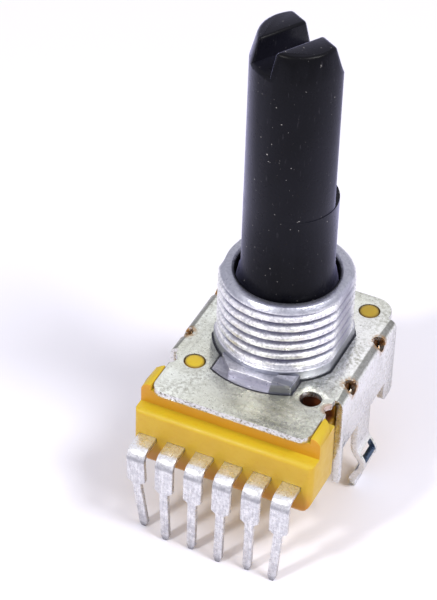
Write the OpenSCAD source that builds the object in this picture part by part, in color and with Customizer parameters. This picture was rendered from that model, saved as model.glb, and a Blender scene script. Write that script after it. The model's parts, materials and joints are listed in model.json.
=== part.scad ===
// Dual rotary potentiometer for a circuit board: two resistance tracks on one D-cut plastic shaft,
// a threaded bushing, a folded steel bracket with two snap-in legs and six leads in one row.
// X runs along the row of leads, Y points away from them and Z up the shaft, in millimetres.
// The origin lies on the shaft's axis, at the top face of the bracket's plate.

/* [Shaft] */
// Diameter of the shaft above the bushing
shaft_d = 6; // [5.8:0.1:6.2]
// Height of the shaft's tip above the plate
shaft_top = 23.5; // [20:0.5:30]
// Length of the flat, from the tip
flat_len = 12; // [8:0.5:14]
// Thickness across the flat
flat_across = 4.5; // [4:0.1:5]
// Width of the slot in the tip
slot_w = 1.65; // [1.2:0.05:2]
// Depth of the slot in the tip
slot_depth = 1.6; // [1:0.1:3]
// Length of the tapered tip
taper_len = 1.8; // [1:0.1:2.5]
// How far the taper comes in at the tip, on the radius
taper_in = 0.45; // [0.2:0.05:0.6]
// Step between the two moulded lengths of the shaft, on the radius
mould_step = 0.04; // [0.02:0.01:0.08]
// Where the flat points, in degrees from +X towards +Y
flat_azimuth = 59; // [30:1:90]
// How much thicker the journal inside the bushing is, on the radius
journal_step = 0.3; // [0.2:0.05:0.4]
// Diameter of the drive hub under the journal
hub_d = 4.8; // [4.4:0.1:5]
// Thickness across the two flats of the drive hub
hub_across = 3.6; // [3.2:0.1:4]
// Diameter of the pivot that turns in the floor of the base
pivot_d = 2.4; // [1.8:0.1:2.8]

/* [Bushing] */
// Wall of the barrel, from the bore to the thread's crests
barrel_wall = 1.05; // [1:0.05:1.15]
// Distance from groove to groove of the thread
thread_pitch = 0.75; // [0.7:0.01:0.8]
// Depth of the thread's grooves
groove_depth = 0.42; // [0.3:0.01:0.46]
// Width of the thread's grooves at the crests
groove_w = 0.46; // [0.4:0.01:0.48]
// Depth of the thread's two flats
flat_cut = 0.3; // [0.25:0.01:0.32]
// How far the plain collar stands out from the thread, on the radius
collar_step = 0.16; // [0.16:0.01:0.2]
// Height of the plain collar above the plate
collar_h = 0.8; // [0.7:0.05:1]
// Height of the bushing above the plate
bushing_h = 5.6; // [5:0.1:8]
// Chamfer at the thread's end
rim_chamfer = 0.4; // [0.2:0.05:0.5]
// Depth from the rim to the shaft's shoulder
shoulder_drop = 0.4; // [0.2:0.05:1]
// Thickness of the flange
flange_t = 1.2; // [1.15:0.05:1.6]
// Radius of the tongue's front edge
tongue_r = 5.8; // [5.5:0.05:6]
// Width of the tongue
tongue_w = 5.5; // [5:0.1:5.8]
// Height of the tongue's raised step above the plate
step_h = 0.45; // [0.2:0.05:0.6]
// Distance of the raised step's front edge from the axis
step_front = 5.1; // [4.9:0.05:5.3]
// Height of the locating lug above the plate
lug_h = 0.6; // [0.5:0.05:0.7]
// Width of the locating lug
lug_w = 1.35; // [1:0.05:1.6]

/* [Bracket] */
// Thickness of the sheet steel
sheet = 0.45; // [0.35:0.05:0.5]
// Width over the two side walls
bracket_w = 12.1; // [12.1:0.1:12.6]
// Outside radius of the folds
fold_r = 0.6; // [0.55:0.05:0.65]
// Front edge of the plate, from the axis
plate_front = 8.6; // [8.4:0.1:8.9]
// Back edge of the plate, from the axis
plate_back = 6.2; // [6.1:0.1:7]
// Front edge of the side walls, from the axis
wall_front = 4.35; // [4.2:0.05:4.6]
// Back edge of the side walls, from the axis
wall_back = 4.55; // [4.3:0.05:4.8]
// Depth of the side walls
wall_h = 4.3; // [4:0.1:5]
// Depth of the narrow feet at the walls' front edges
foot_h = 7; // [6.5:0.1:7.5]
// Width of the narrow feet
foot_w = 0.55; // [0.4:0.05:0.8]
// Depth of the short tabs at the walls' back edges
tab_h = 5.9; // [5.5:0.1:6.5]
// Width of the short tabs
tab_w = 1.5; // [1:0.1:1.7]
// Width of the snap-in legs
leg_w = 2.05; // [1.8:0.05:2.3]
// How far the kink stands out from the leg
kink_out = 0.68; // [0.4:0.02:0.9]
// Diameter of the relief holes along the folds
relief_d = 1; // [0.8:0.05:1.2]
// Distance between the two relief holes in each fold
relief_pitch = 4.7; // [4.2:0.1:5.2]
// Diameter of the holes in the plate, where the staked pegs sit
peg_hole_d = 1.4; // [1.2:0.05:1.6]

/* [Base] */
// Width of the moulded terminal block
block_w = 12.4; // [12.3:0.1:13]
// Front face of the terminal block, from the axis
block_front = 9.3; // [9.2:0.1:10]
// Back of the terminal block, from the axis
block_back = 6; // [5.9:0.1:6.2]
// Front of the recessed wall under the plate, from the axis
recess_front = 8.3; // [8.15:0.05:8.35]
// Depth of the ledge below the plate's top
ledge_drop = 1.5; // [1.2:0.05:1.8]
// Length of the ears beside the plate
ear_len = 2.2; // [1.6:0.1:2.2]
// Thickness of the floor
floor_t = 0.95; // [0.8:0.05:1.4]
// Back of the base, from the axis
base_back = 5.9; // [5.8:0.05:6.1]

/* [Leads] */
// Distance from lead to lead
pitch = 2; // [1.95:0.01:2.05]
// Shift of the row along X from the axis
row_shift = -0.2; // [-0.25:0.05:0]
// Thickness of the lead strip
lead_t = 0.35; // [0.3:0.01:0.38]
// Width of the leads down to the shoulders
lead_w = 1.25; // [1.15:0.05:1.4]
// Width of the leads below the shoulders
tail_w = 0.58; // [0.5:0.02:0.7]
// Depth of the leads' top face below the plate's top
lead_drop = 3.35; // [3.2:0.05:3.4]
// Front face of the leads, from the axis
lead_front = 11.1; // [10.8:0.05:12]
// Outside radius of the bend in the leads
lead_r = 0.75; // [0.6:0.05:1]
// Depth of the leads' shoulders below the plate's top
shoulder_depth = 5.95; // [5.4:0.05:6.4]
// Depth of all the tips, leads and legs, below the plate's top
stand_h = 10.2; // [9.9:0.1:10.8]

/* [Inside] */
// Thickness of each resistor wafer
wafer_t = 0.5; // [0.4:0.05:0.6]
// Room between the two wafers
rotor_room = 2; // [2:0.05:2.4]
// Thickness of the rotor's disc
rotor_t = 1; // [0.8:0.05:1.1]
// Wall between the round chamber and the base's sides
chamber_wall = 0.55; // [0.5:0.05:0.6]
// How far the rotor's lug stands out from its disc
lug_out = 0.45; // [0.4:0.05:0.5]
// Full turn of the shaft, in degrees
travel = 300; // [260:5:310]
// Thickness of the thrust washer
washer_t = 0.15; // [0.1:0.05:0.2]
// Thickness of the retaining ring
ring_t = 0.35; // [0.25:0.05:0.4]
// How far the retaining ring stands out from the journal
ring_reach = 0.6; // [0.5:0.05:0.65]
// Thickness of the printed tracks
track_t = 0.04; // [0.03:0.01:0.06]
// Thickness of the wiper springs
spring_t = 0.12; // [0.1:0.01:0.15]

/* [Fits] */
// Running gap round the journal and the pivot, on the radius
run_gap = 0.05; // [0.03:0.01:0.08]
// Gap between pieces that are only laid together
seat_gap = 0.05; // [0.04:0.01:0.06]
// Gap between a contact spring and its track
contact_gap = 0.03; // [0.02:0.01:0.05]

/* [Hidden] */
$fn = 64;
over = 0.5;           // how far a cutter runs past what it cuts
weld = 0.02;          // how far two lumps of one piece run into each other
long = 40;            // longer than the part, for half-space cutters
gang_leads = 3;       // leads of each resistance track
leads = 2 * gang_leads;

// Levels, downwards from the plate's top
seat_z = -sheet;
flange_z = seat_z - flange_t;
upper_z = flange_z - wafer_t;
lower_z = upper_z - rotor_room;
floor_z = lower_z - wafer_t;
base_z = floor_z - floor_t;
rotor_z = (upper_z + lower_z - rotor_t) / 2;

// Shaft and bushing
shaft_r = shaft_d / 2;
tip_r = shaft_r - mould_step;
flat_x = flat_across - shaft_r;
flat_z = shaft_top - flat_len;
journal_r = shaft_r + journal_step;
bore_r = journal_r + run_gap;
shoulder_z = bushing_h - shoulder_drop;
neck_z = bushing_h + 2 * seat_gap; // where the shaft's coned shoulder reaches the stem
thread_r = bore_r + barrel_wall;
flat_half = thread_r - flat_cut;
collar_r = thread_r + collar_step;
grooves = 5;
groove_z = collar_h + 0.66; // middle of the lowest groove
root_w = 0.12;        // width of a groove at its root
heel_half = 3.1;      // half the width of the tongue's heel under the plate
heel_front = 6.3;     // reach of the heel from the axis
step_left = 1.6;      // where the raised step's front left corner stands
step_lean = 1;        // how far the step's left edge leans out towards the barrel
lug_bevel = 0.2;
rim_relief = 0.2;     // countersink at the mouth of the bore
lip_t = 0.3;          // lip of the journal that carries the retaining ring
pocket_depth = washer_t + ring_t + lip_t + 3 * seat_gap;
ring_r = journal_r + ring_reach;
pocket_r = ring_r + 2 * seat_gap;
washer_z = flange_z + pocket_depth - washer_t - seat_gap / 2;
ring_z = washer_z - ring_t - seat_gap / 2;
journal_z = ring_z - seat_gap / 2 - lip_t;
ring_gap = 40;        // angle that the retaining ring leaves open
groove_r = journal_r - 0.4;
hub_r = hub_d / 2;
hub_z = lower_z + 2 * seat_gap;
pivot_r = pivot_d / 2;
pivot_z = floor_z - floor_t / 2;

// Bracket
wall_x = bracket_w / 2;
plate_half = wall_x - fold_r;
front_corner = 0.8;
back_corner = 1.4;
corner_relief_y = -5.3;
relief_mid = -0.15;
leg_mid = -0.27;
hole_x = 4.03;
hole_front = -4.93;
hole_back = 4.68;
hole_r = peg_hole_d / 2;
peg_r = hole_r - 0.08;
opening_gap = 0.1;    // gap round the bushing's neck and tongue
relief_cut = 2;       // length of the drill that makes a relief hole
leg_mid_x = wall_x - sheet / 2;
kink_start = 6.75;    // depths of the leg's bends below the plate's top
kink_peak = 7.75;
kink_end = 9.2;
tip_in = 0.06;        // how far the leg's tip leans in
tip_w = 1.2;
tip_taper = 1;
window_w = 1.15;
window_top = 6.95;
window_bottom = 7.65;
tab_chamfer = 0.3;

// Base
body_half = wall_x - sheet - 3 * seat_gap;
block_half = block_w / 2;
chamber_r = body_half - chamber_wall;
rotor_r = chamber_r - lug_out - 3 * seat_gap;
flange_r = chamber_r - seat_gap;
ear_r = 1;
side_round = 0.8;     // round of the block's lower corners, seen from the front
lower_round = 0.45;
ledge_round = 0.35;
notch_depth = 1.1;    // hollow in the base beside each corner of the chamber
notch_back = 4.2;

// Wafers, leads and rivets
wafer_r = chamber_r - seat_gap;
wafer_front = 7.75;
wafer_half = 5.42;    // half the width of the wafers along the rivets
wafer_waist = 5;      // half the width behind the rivets
shoulder_y = -3.875;  // where the wafers' square front runs out
waist_y = -6.45;
wafer_back = 5.3;
tail_half = 3;        // half the width of the upper wafer's tail, which rests on a ledge
pocket_front = wafer_front + seat_gap;
row_x = [for (k = [0 : leads - 1]) row_shift + (k - (leads - 1) / 2) * pitch];
tail_shift = [0.36, 0.16, 0, 0, -0.02, -0.22];      // how far each tip stands aside of its lead
tail_set = [0.62, 0.05, 0.04, -0.22, -0.04, -0.18]; // how far each tip stands behind its bend
lead_end_w = 0.8;
riser_front = wafer_front - seat_gap;
end_back = waist_y - seat_gap;
rivet_y = -6.9;
rivet_r = 0.3;
rivet_head_r = 0.42;
rivet_head_t = 0.15;
rivet_x = [for (x = row_x) sign(x) * min(abs(x), wafer_half - lead_end_w / 2)];
shoulder_slope = 0.25;
tip_chamfer = 0.35;

// Tracks, wipers and stops
arc_out = chamber_r - 0.4;
arc_in = arc_out - 0.6;
collector_out = arc_in - 0.5;
collector_in = collector_out - 0.5;
collector_mid = (collector_in + collector_out) / 2;
arc_gap = 22;         // half the angle that the resistive arc leaves open at the front
print_w = 0.4;
stop_half = 5;        // half the angle of the fixed stop
stop_r = chamber_r + 0.3;
lug_half = (360 - travel) / 2 - stop_half - 0.3;
leaf_len = 2;
leaf_w = 0.3;
leaf_foot = 0.4;      // length of a leaf's flat ends
spring_r = rotor_r - seat_gap;
arc_end = [4.36, 24]; // radius and angle from the front where an arc's path starts
near_turn = [5.75, 13];
far_turn = [6.9, 29.5];

// The point at radius p[0], p[1] degrees round from the front on that side
function round_front(p, side) = [side * p[0] * sin(p[1]), -p[0] * cos(p[1])];

// A flat bar from p to q in the plane, with round ends
module bar_2d(p, q, w) {
    d = q - p;
    translate(p) rotate(atan2(d[1], d[0])) translate([0, -w / 2]) square([norm(d), w]);
    translate(p) circle(d = w);
    translate(q) circle(d = w);
}

// A bent strip through a list of points
module strip_2d(points, w) {
    for (i = [0 : len(points) - 2]) bar_2d(points[i], points[i + 1], w);
}

// A quarter of a bent sheet, between +X and +Y
module quarter_2d(r, t) {
    intersection() {
        difference() {
            circle(r);
            circle(r - t);
        }
        translate([-weld, -weld]) square(r + weld);
    }
}

// What has to go to round off a corner that lies at the origin, with the piece in +X and +Y
module corner_2d(r) {
    difference() {
        translate([-over, -over]) square(r + over);
        translate([r, r]) circle(r);
    }
}

// A rectangle from the corner a to the corner b, with its front and back corners rounded
module plate_2d(a, b, front_r, back_r) {
    difference() {
        translate(a) square(b - a);
        translate(a) corner_2d(front_r);
        translate([b[0], a[1]]) mirror([1, 0]) corner_2d(front_r);
        translate([a[0], b[1]]) mirror([0, 1]) corner_2d(back_r);
        translate(b) rotate(180) corner_2d(back_r);
    }
}

// Stands a drawing up in the YZ plane and gives it the thickness t, from x onwards
module along_x(x, t) {
    translate([x, 0, 0]) rotate([90, 0, 90]) linear_extrude(t) children();
}

// Stands a drawing up in the XZ plane and gives it the depth from y0 to y1
module along_y(y0, y1) {
    translate([0, y1, 0]) rotate([90, 0, 0]) linear_extrude(y1 - y0) children();
}

module both_sides() {
    children();
    mirror([1, 0, 0]) children();
}

// A ring sector of the height h about the axis
module sector(r0, r1, h, from, to) {
    rotate(from) rotate_extrude(angle = to - from) translate([r0, 0]) square([r1 - r0, h]);
}

// The bushing's outline where it passes the plate, widened by gap
module neck_2d(r, gap) {
    intersection() {
        circle(r);
        translate([-flat_half - gap, -long / 2]) square([2 * (flat_half + gap), long]);
    }
    intersection() {
        circle(tongue_r + gap);
        translate([-tongue_w / 2 - gap, -long / 2]) square([tongue_w + 2 * gap, long / 2]);
    }
}

// One folded side: the bend, the wall with its foot and tab, and the kinked leg
module bracket_side() {
    leg_front = leg_mid - leg_w / 2;
    leg_back = leg_mid + leg_w / 2;
    tab_front = wall_back - tab_w;
    leg_root = -wall_h + over;
    leg_room = fold_r + kink_out + 2 * over;
    along_y(-wall_front, wall_back) translate([plate_half, -fold_r]) quarter_2d(fold_r, sheet);
    along_x(wall_x - sheet, sheet) polygon([
        [-wall_front, -fold_r + weld], [-wall_front, -foot_h], [-wall_front + foot_w, -foot_h],
        [-wall_front + foot_w, -wall_h], [tab_front, -wall_h], [tab_front, -tab_h + tab_chamfer],
        [tab_front + tab_chamfer, -tab_h], [wall_back - tab_chamfer, -tab_h],
        [wall_back, -tab_h + tab_chamfer], [wall_back, -fold_r + weld]]);
    difference() {
        intersection() {
            along_y(leg_mid - leg_w, leg_mid + leg_w) strip_2d([
                [leg_mid_x, leg_root], [leg_mid_x, -kink_start], [leg_mid_x + kink_out, -kink_peak],
                [leg_mid_x, -kink_end], [leg_mid_x - tip_in, -stand_h - over]], sheet);
            along_x(wall_x - fold_r - over, leg_room) polygon([
                [leg_front, leg_root], [leg_front, -stand_h + tip_taper],
                [leg_mid - tip_w / 2, -stand_h], [leg_mid + tip_w / 2, -stand_h],
                [leg_back, -stand_h + tip_taper], [leg_back, leg_root]]);
        }
        translate([wall_x - fold_r - over, leg_mid - window_w / 2, -window_bottom])
            cube([leg_room, window_w, window_bottom - window_top]);
    }
}

// One folded sheet: plate with its opening and holes, two walls, two feet, two tabs and two legs
module bracket() {
    color([0.78, 0.80, 0.76]) difference() {
        union() {
            translate([0, 0, seat_z]) linear_extrude(sheet)
                plate_2d([-plate_half, -plate_front], [plate_half, plate_back], front_corner, back_corner);
            both_sides() bracket_side();
        }
        translate([0, 0, seat_z - over]) linear_extrude(sheet + 2 * over)
            neck_2d(collar_r + opening_gap, opening_gap);
        for (x = [-hole_x, hole_x], y = [hole_front, hole_back])
            translate([x, y, seat_z - over]) cylinder(h = sheet + 2 * over, r = hole_r);
        both_sides() for (y = [relief_mid - relief_pitch / 2, relief_mid + relief_pitch / 2])
            translate([plate_half, y, -fold_r]) rotate([0, 45, 0]) cylinder(h = relief_cut, r = relief_d / 2);
        both_sides() translate([plate_half + relief_d / 5, corner_relief_y, seat_z - over])
            cylinder(h = sheet + 2 * over, r = relief_d / 2);
    }
}

// One groove round the barrel, at the height 0
module groove() {
    rotate_extrude() polygon([
        [thread_r - groove_depth, -root_w / 2], [thread_r, -groove_w / 2], [thread_r + over, -groove_w / 2],
        [thread_r + over, groove_w / 2], [thread_r, groove_w / 2], [thread_r - groove_depth, root_w / 2]]);
}

// The barrel above the plate: collar, grooved thread and chamfered end, cut to its two flats
module barrel() {
    chamfer_z = bushing_h - rim_chamfer;
    intersection() {
        union() {
            cylinder(h = collar_h, r = collar_r);
            difference() {
                translate([0, 0, collar_h - weld]) cylinder(h = chamfer_z - collar_h + weld, r = thread_r);
                for (k = [0 : grooves - 1]) translate([0, 0, groove_z + k * thread_pitch]) groove();
            }
            translate([0, 0, chamfer_z]) cylinder(h = rim_chamfer, r1 = thread_r, r2 = thread_r - rim_chamfer);
        }
        translate([-flat_half, -long / 2, 0]) cube([2 * flat_half, long, long]);
    }
}

// The tongue's raised step with its leaning left edge, and the bevelled locating lug on its right
module tongue_top() {
    half = tongue_w / 2;
    lug_left = half - lug_w;
    linear_extrude(step_h) intersection() {
        circle(tongue_r);
        polygon([[-step_left, -step_front], [half, -step_front], [half, 0],
                 [-step_left - step_lean, 0], [-step_left - step_lean, -thread_r + groove_depth]]);
    }
    intersection() {
        cylinder(h = lug_h, r = tongue_r);
        along_y(-tongue_r, -thread_r + groove_depth) polygon([
            [lug_left, 0], [lug_left + lug_bevel / 2, lug_h], [half - lug_bevel, lug_h],
            [half, step_h / 2], [half, 0]]);
    }
}

// Cast bushing: flange and heel, barrel with two flats, stepped tongue and locating lug in one piece
module bushing() {
    color([0.72, 0.74, 0.78]) difference() {
        union() {
            translate([0, 0, flange_z]) {
                cylinder(h = flange_t, r = flange_r);
                translate([-heel_half, -heel_front, 0]) cube([2 * heel_half, heel_front, flange_t]);
            }
            translate([0, 0, seat_z - weld]) linear_extrude(sheet + 2 * weld) neck_2d(collar_r, 0);
            barrel();
            tongue_top();
        }
        translate([0, 0, flange_z - over]) {
            cylinder(h = bushing_h - flange_z + 2 * over, r = bore_r);
            cylinder(h = pocket_depth + over, r = pocket_r);
        }
        translate([0, 0, bushing_h - rim_relief])
            cylinder(h = rim_relief, r1 = bore_r, r2 = bore_r + rim_relief);
    }
}

// The drive hub's section, round with two flats
module hub_2d() {
    intersection() {
        circle(hub_r);
        translate([-hub_across / 2, -hub_d]) square([hub_across, 2 * hub_d]);
    }
}

// Moulded shaft: slotted D tip, round stem, coned shoulder, journal with its ring groove, hub and pivot
module shaft() {
    taper_z = shaft_top - taper_len;
    color([0.13, 0.13, 0.15]) rotate(flat_azimuth) difference() {
        union() {
            translate([0, 0, taper_z]) cylinder(h = taper_len, r1 = tip_r, r2 = tip_r - taper_in);
            translate([0, 0, flat_z - weld]) cylinder(h = taper_z - flat_z + weld, r = tip_r);
            translate([0, 0, neck_z - weld]) cylinder(h = flat_z - neck_z + weld, r = shaft_r);
            translate([0, 0, shoulder_z]) cylinder(h = neck_z - shoulder_z, r1 = journal_r, r2 = shaft_r);
            translate([0, 0, journal_z]) cylinder(h = shoulder_z - journal_z, r = journal_r);
            translate([0, 0, hub_z]) linear_extrude(journal_z - hub_z + weld) hub_2d();
            translate([0, 0, pivot_z]) cylinder(h = hub_z - pivot_z + weld, r = pivot_r);
        }
        along_y(-shaft_d, shaft_d) polygon([
            [flat_x, flat_z], [flat_x, taper_z], [flat_x - taper_in, shaft_top + weld],
            [shaft_d, shaft_top + weld], [shaft_d, flat_z]]);
        translate([-shaft_d, -slot_w / 2, shaft_top - slot_depth])
            cube([2 * shaft_d, slot_w, slot_depth + over]);
        translate([0, 0, ring_z - seat_gap / 2]) difference() {
            cylinder(h = ring_t + seat_gap, r = journal_r + over);
            translate([0, 0, -over]) cylinder(h = ring_t + 2 * over, r = groove_r);
        }
    }
}

// The part of a lead below its bend, with its tip moved by dx aside and dy back
module lead_tail(dx, dy) {
    top = -lead_drop - lead_r + weld;
    slope_end = -shoulder_depth - shoulder_slope;
    intersection() {
        along_x(-lead_w, 2 * lead_w) polygon([
            [-lead_front, top], [-lead_front + lead_t, top],
            [-lead_front + lead_t + dy, -stand_h], [-lead_front + dy, -stand_h]]);
        along_y(-lead_front - over, -lead_front + lead_t + dy + over) polygon([
            [-lead_w / 2, top], [-lead_w / 2, -shoulder_depth], [-tail_w / 2, slope_end],
            [dx - tail_w / 2, -stand_h + tip_chamfer], [dx - tail_w / 4, -stand_h],
            [dx + tail_w / 4, -stand_h], [dx + tail_w / 2, -stand_h + tip_chamfer],
            [tail_w / 2, slope_end], [lead_w / 2, -shoulder_depth], [lead_w / 2, top]]);
    }
}

// Lead k: flat end under its rivet, jog, straight run through the base, bend and tail
module lead(k) {
    bend_y = -lead_front + lead_r;
    strip_z = -lead_drop - lead_t;
    end_z = k < gang_leads ? upper_z - track_t - lead_t : lower_z + track_t;
    color([0.80, 0.81, 0.83]) {
        translate([row_x[k], 0, 0]) {
            along_x(-lead_w / 2, lead_w) {
                translate([bend_y - weld, strip_z]) square([-pocket_front - bend_y + weld, lead_t]);
                translate([bend_y, -lead_drop - lead_r]) mirror([1, 0]) quarter_2d(lead_r, lead_t);
            }
            lead_tail(tail_shift[k], tail_set[k]);
        }
        translate([rivet_x[k], 0, 0]) difference() {
            along_x(-lead_end_w / 2, lead_end_w) {
                translate([-pocket_front - weld, strip_z])
                    square([pocket_front - riser_front + lead_t + weld, lead_t]);
                translate([-riser_front, min(strip_z, end_z)])
                    square([lead_t, abs(end_z - strip_z) + lead_t]);
                translate([-riser_front, end_z]) square([riser_front + end_back, lead_t]);
            }
            translate([0, rivet_y, end_z - over]) cylinder(h = lead_t + 2 * over, r = rivet_r);
        }
    }
}

// Six rivets that hold the leads to the wafers
module contact_rivets() {
    grip = wafer_t + track_t + lead_t;
    color([0.85, 0.85, 0.80]) for (k = [0 : leads - 1]) {
        from = k < gang_leads ? flange_z - grip : floor_z;
        translate([rivet_x[k], rivet_y, 0]) {
            translate([0, 0, from]) cylinder(h = grip, r = rivet_r);
            translate([0, 0, from - rivet_head_t]) cylinder(h = rivet_head_t, r = rivet_head_r);
            translate([0, 0, from + grip]) cylinder(h = rivet_head_t, r = rivet_head_r);
        }
    }
}

// The outline that both wafers share, grown by gap
module wafer_2d(gap) {
    circle(wafer_r + gap);
    translate([-wafer_waist - gap, -wafer_front - gap])
        square([2 * (wafer_waist + gap), wafer_front + shoulder_y + 2 * gap]);
    translate([-wafer_half - gap, -wafer_front - gap])
        square([2 * (wafer_half + gap), wafer_front + waist_y + 2 * gap]);
}

// The upper wafer's tail, grown by gap
module tail_2d(gap) {
    translate([-tail_half - gap, 0]) square([2 * (tail_half + gap), wafer_back + gap]);
}

// The holes for the peg and for the rivets of three leads
module wafer_holes_2d(first, centre_r) {
    circle(centre_r);
    translate([-hole_x, hole_front]) circle(hole_r);
    for (k = [first : first + gang_leads - 1]) translate([rivet_x[k], rivet_y]) circle(rivet_r);
}

module upper_wafer() {
    color([0.35, 0.18, 0.08]) translate([0, 0, upper_z]) linear_extrude(wafer_t) difference() {
        union() {
            wafer_2d(0);
            tail_2d(0);
        }
        wafer_holes_2d(0, hub_r + 3 * seat_gap);
    }
}

module lower_wafer() {
    color([0.35, 0.18, 0.08]) difference() {
        translate([0, 0, floor_z]) linear_extrude(wafer_t) difference() {
            wafer_2d(0);
            wafer_holes_2d(gang_leads, pivot_r + 3 * seat_gap);
        }
        translate([0, 0, floor_z - over]) stop(wafer_t + 2 * over, seat_gap);
    }
}

// Fixed stop that stands at the front of the chamber, grown by gap
module stop(h, gap) {
    grow = atan(gap / wafer_r);
    sector(rotor_r + seat_gap - gap, stop_r + gap, h, -90 - stop_half - grow, -90 + stop_half + grow);
}

// One ear of the base beside the plate, rounded at its outer back corner
module ear(w) {
    translate([plate_half + seat_gap, -recess_front, seat_z - weld]) linear_extrude(sheet + weld)
        difference() {
            square([w, ear_len]);
            translate([w, ear_len]) rotate(180) corner_2d(ear_r);
        }
}

// The terminal block with its ledge, rounded along its lower front edge and at its lower corners
module terminal_block() {
    intersection() {
        along_x(-block_half, block_w) difference() {
            polygon([[-block_front, base_z], [-block_front, -ledge_drop], [-recess_front, -ledge_drop],
                     [-recess_front, seat_z], [-block_back, seat_z], [-block_back, base_z]]);
            translate([-block_front, base_z]) corner_2d(lower_round);
            translate([-block_front, -ledge_drop]) mirror([0, 1]) corner_2d(ledge_round);
        }
        along_y(-block_front - over, -block_back + over) difference() {
            translate([-block_half, base_z]) square([block_w, -base_z]);
            translate([-block_half, base_z]) corner_2d(side_round);
            translate([block_half, base_z]) mirror([1, 0]) corner_2d(side_round);
        }
    }
    both_sides() ear(block_half - plate_half - seat_gap);
}

// Moulded base: chamber body, terminal block, pegs, stop and pivot hole
module base() {
    color([0.90, 0.70, 0.16]) difference() {
        union() {
            translate([-body_half, -block_back - weld, base_z])
                cube([2 * body_half, base_back + block_back + weld, seat_z - base_z]);
            terminal_block();
            translate([hole_x, hole_back, seat_z - weld]) cylinder(h = sheet + weld, r = peg_r);
            translate([-hole_x, hole_front, seat_z - weld]) cylinder(h = sheet + weld, r = peg_r);
        }
        difference() {
            union() {
                translate([0, 0, floor_z]) linear_extrude(-floor_z) wafer_2d(seat_gap);
                translate([0, 0, upper_z]) linear_extrude(-upper_z) tail_2d(seat_gap);
                both_sides() translate([wafer_waist, -block_back, seat_z - notch_depth])
                    cube([body_half, block_back - notch_back, long]);
            }
            translate([-hole_x, hole_front, floor_z - over]) cylinder(h = long, r = peg_r);
            translate([0, 0, floor_z - over]) stop(over - floor_z + upper_z - 2 * seat_gap, 0);
        }
        translate([0, 0, pivot_z - seat_gap]) cylinder(h = long, r = pivot_r + run_gap);
        for (k = [gang_leads : leads - 1]) translate([rivet_x[k], rivet_y, floor_z - rivet_head_t - seat_gap])
            cylinder(h = over, r = rivet_head_r + seat_gap);
        for (x = row_x) translate([x - lead_w / 2, -block_front - over, -lead_drop - lead_t])
            cube([lead_w, block_front - pocket_front + over + weld, lead_t]);
    }
}

// A strip of print through some points, with a pad round the last of them for a rivet
module print_2d(points) {
    pad = points[len(points) - 1];
    difference() {
        union() {
            strip_2d(points, print_w);
            translate(pad) circle(rivet_head_r);
        }
        translate(pad) circle(rivet_r);
    }
}

// Resistive arc on a wafer's face with its two paths, on the side of its three leads
module resistive_track(z, side, ends) {
    color([0.08, 0.08, 0.09]) translate([0, 0, z]) {
        sector(arc_in, arc_out, track_t, -90 + arc_gap, 270 - arc_gap);
        linear_extrude(track_t) {
            print_2d([round_front(arc_end, side), round_front(far_turn, side), [rivet_x[ends[0]], rivet_y]]);
            print_2d([round_front(arc_end, -side), round_front(near_turn, -side), [rivet_x[ends[1]], rivet_y]]);
        }
    }
}

// Collector ring inside the resistive arc, with its path to the middle lead of three
module collector_ring(z, side, middle) {
    color([0.75, 0.75, 0.72]) translate([0, 0, z]) linear_extrude(track_t) {
        difference() {
            circle(collector_out);
            circle(collector_in);
        }
        print_2d([[side * print_w / 2, -collector_mid], [rivet_x[middle], rivet_y]]);
    }
}

// Rotor disc on the drive hub, with the lug that meets the stop
module rotor() {
    color([0.80, 0.78, 0.72]) translate([0, 0, rotor_z]) rotate(flat_azimuth) difference() {
        union() {
            cylinder(h = rotor_t, r = rotor_r);
            sector(rotor_r - over, rotor_r + lug_out, rotor_t, -lug_half, lug_half);
        }
        translate([0, 0, -over]) linear_extrude(rotor_t + 2 * over) hub_2d();
    }
}

// Contact spring lying on z = 0, with a leaf for each print reaching up by rise
module wiper(rise) {
    root = -leaf_len / 2;
    bend = root + leaf_foot;
    tip = leaf_len / 2;
    color([0.82, 0.66, 0.36]) {
        difference() {
            cylinder(h = spring_t, r = spring_r);
            translate([0, 0, -over]) cylinder(h = spring_t + 2 * over, r = hub_r + seat_gap);
        }
        for (r = [spring_r - leaf_w / 2, collector_mid])
            rotate(-90) along_y(r - leaf_w, r) polygon([
                [root, 0], [bend, 0], [tip - leaf_foot, rise - spring_t], [tip, rise - spring_t],
                [tip, rise], [tip - leaf_foot, rise], [bend, spring_t], [root, spring_t]]);
    }
}

module upper_wiper() {
    top = rotor_z + rotor_t;
    translate([0, 0, top]) rotate(flat_azimuth) wiper(upper_z - track_t - contact_gap - top);
}

module lower_wiper() {
    translate([0, 0, rotor_z]) rotate(flat_azimuth) mirror([0, 0, 1])
        wiper(rotor_z - lower_z - track_t - contact_gap);
}

// Open spring ring in the journal's groove
module retaining_ring() {
    color([0.55, 0.56, 0.58]) translate([0, 0, ring_z])
        sector(groove_r + seat_gap / 2, ring_r, ring_t, ring_gap / 2, 360 - ring_gap / 2);
}

module thrust_washer() {
    color([0.88, 0.86, 0.80]) translate([0, 0, washer_z]) difference() {
        cylinder(h = washer_t, r = ring_r);
        translate([0, 0, -over]) cylinder(h = washer_t + 2 * over, r = bore_r);
    }
}

bracket();
bushing();
shaft();
base();
lead(0);  // terminal_1
lead(1);  // terminal_2
lead(2);  // terminal_3
lead(3);  // terminal_4
lead(4);  // terminal_5
lead(5);  // terminal_6
contact_rivets();
upper_wafer();
lower_wafer();
resistive_track(upper_z - track_t, -1, [0, 2]);  // upper_resistive_track
resistive_track(lower_z, 1, [5, 3]);  // lower_resistive_track
collector_ring(upper_z - track_t, -1, 1);  // upper_collector_ring
collector_ring(lower_z, 1, 4);  // lower_collector_ring
rotor();
upper_wiper();
lower_wiper();
retaining_ring();
thrust_washer();
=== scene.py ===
"""Looks of the rotary potentiometer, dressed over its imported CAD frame.

Objects are in metres, as the frame is. The lengths named below are in millimetres.
"""
import json
import math

import bmesh
import bpy
from mathutils import Matrix, Vector


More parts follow.
